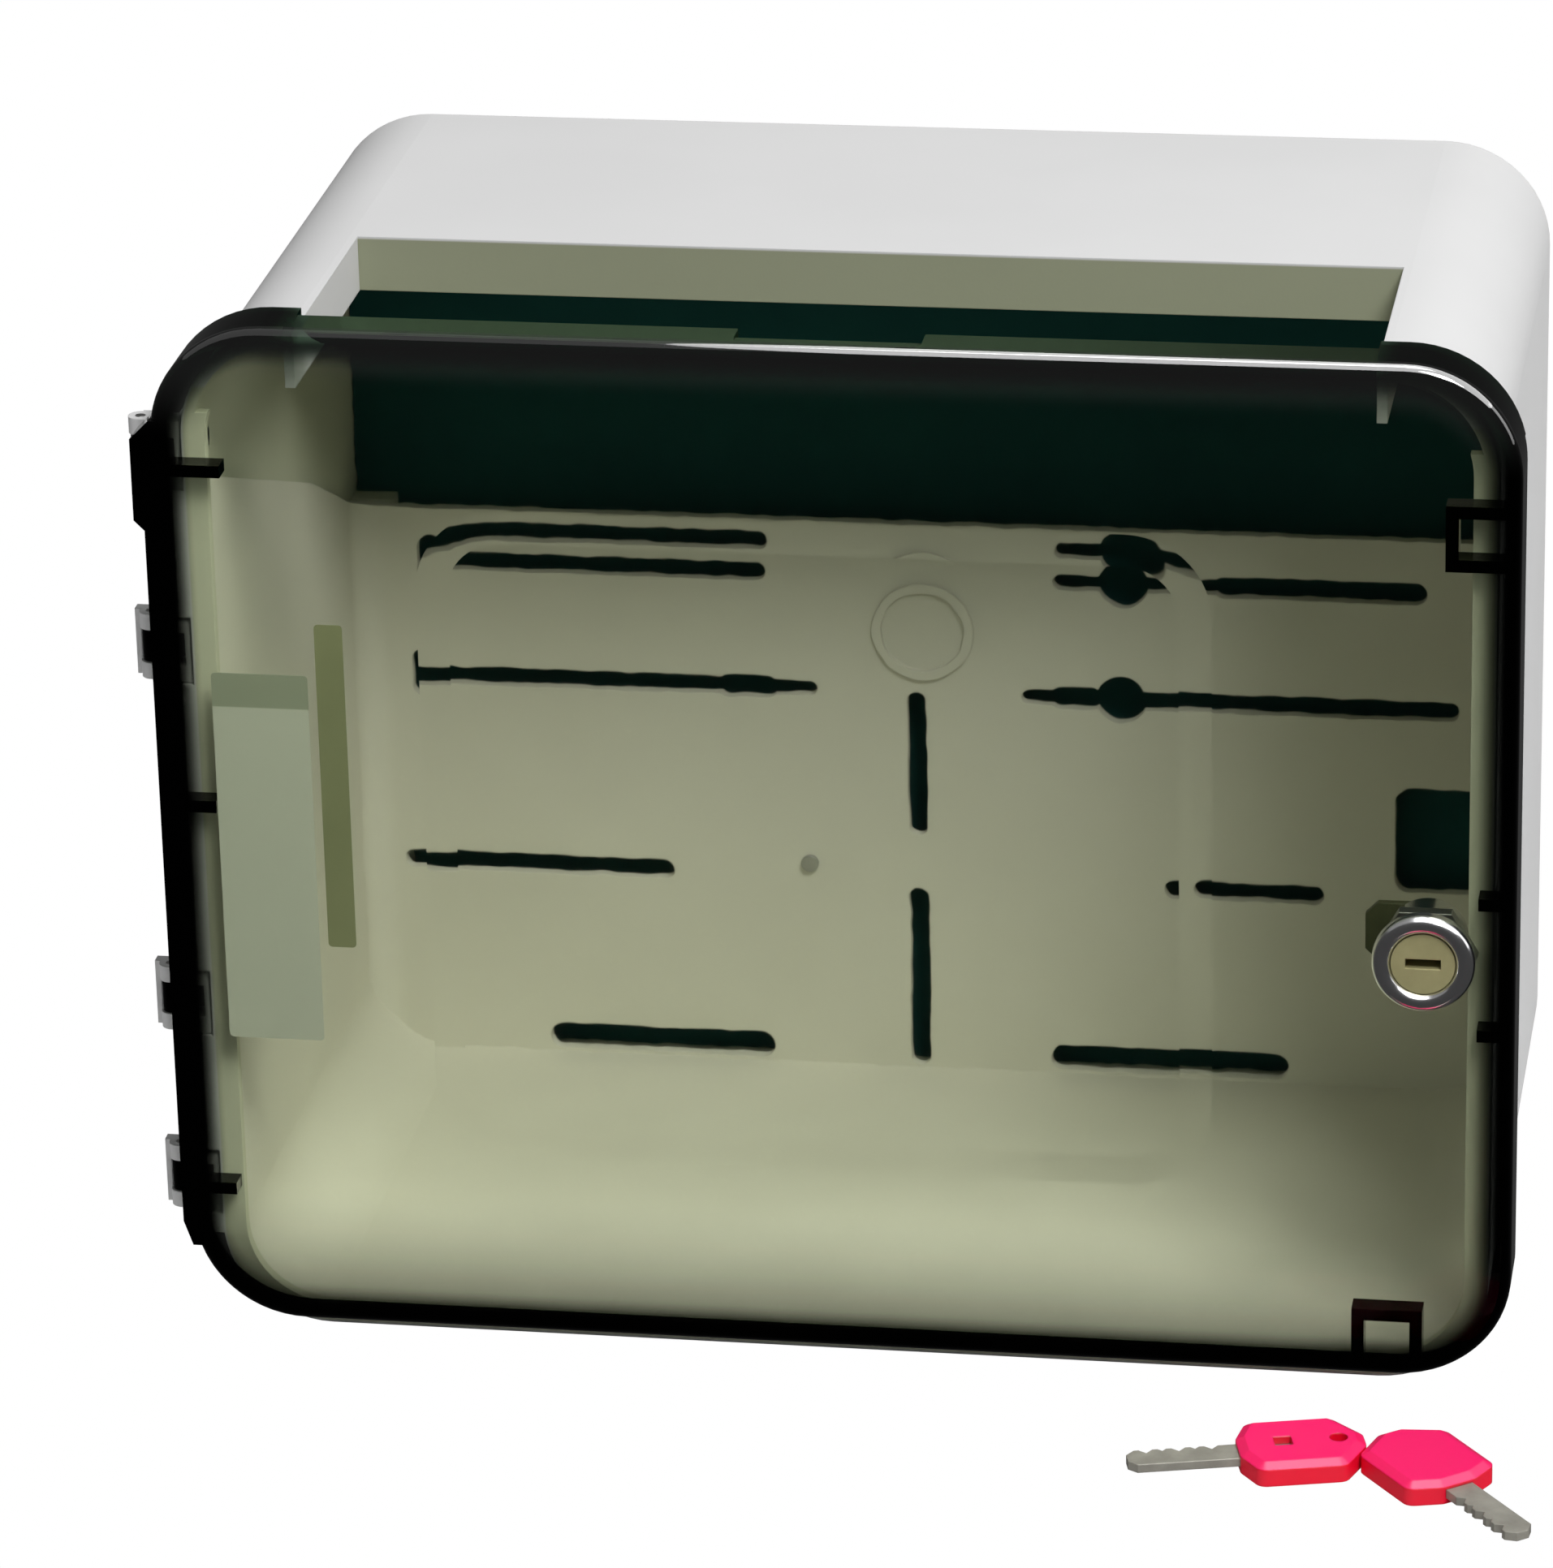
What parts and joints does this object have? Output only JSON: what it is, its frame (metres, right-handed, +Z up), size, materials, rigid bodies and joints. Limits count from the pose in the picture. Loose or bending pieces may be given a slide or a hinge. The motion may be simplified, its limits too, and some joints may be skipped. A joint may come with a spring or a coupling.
{
  "type": "sharps container enclosure",
  "caption": "Wall cabinet for a sharps container: moulded housing open at the top, slotted liner, smoke-tinted hinged door with a cam lock, and two keys.",
  "frame": {"origin": "centre of the housing's underside", "axes": "+X to the right seen from the front, +Y to the back (towards the wall), +Z up"},
  "size_m": [0.3499, 0.2633, 0.267],
  "materials": {
    "housing_plastic": "light grey moulded plastic, satin",
    "liner_plastic": "beige moulded plastic, satin",
    "dark_plate": "dark painted sheet, satin",
    "screw_steel": "plain zinc-plated steel",
    "smoke_plastic": "smoke-tinted transparent plastic, polished",
    "label_film": "blank printed film",
    "lock_chrome": "polished chrome",
    "lock_face": "satin plated face of the lock's plug",
    "wafer_brass": "plain brass",
    "key_steel": "nickel-plated steel",
    "key_plastic": "bright pink moulded plastic"
  },
  "bodies": {
    "cabinet": {"housing": "housing_plastic", "liner": "liner_plastic", "rear_plate": "dark_plate", "plate_screws": "screw_steel", "liner_screw": "screw_steel", "hinge_loop_1": "housing_plastic", "hinge_loop_2": "housing_plastic", "hinge_loop_3": "housing_plastic", "hinge_loop_4": "housing_plastic", "loop_screws": "screw_steel", "hinge_pin_1": "screw_steel", "hinge_pin_2": "screw_steel", "hinge_pin_3": "screw_steel", "hinge_pin_4": "screw_steel", "key_1_blade": "key_steel", "key_1_head": "key_plastic", "key_2_blade": "key_steel", "key_2_head": "key_plastic"},
    "door": {"door": "smoke_plastic", "door_label": "label_film", "door_strip": "label_film", "lock_barrel": "lock_chrome", "lock_washer": "screw_steel", "lock_nut": "screw_steel"},
    "lock_core": {"lock_plug": "lock_face", "lock_wafers": "wafer_brass", "cam": "screw_steel", "cam_screw": "screw_steel"}
  },
  "joints": [
    {"name": "door_hinge", "type": "hinge", "parent": "cabinet", "child": "door", "pos_m": [-0.17, -0.084, 0.134], "axis": [0, 0, -1], "range_deg": [0, 105]},
    {"name": "lock_turn", "type": "hinge", "parent": "door", "child": "lock_core", "pos_m": [0.143, -0.088, 0.1165], "axis": [0, 1, 0], "range_deg": [0, 180]}
  ]
}
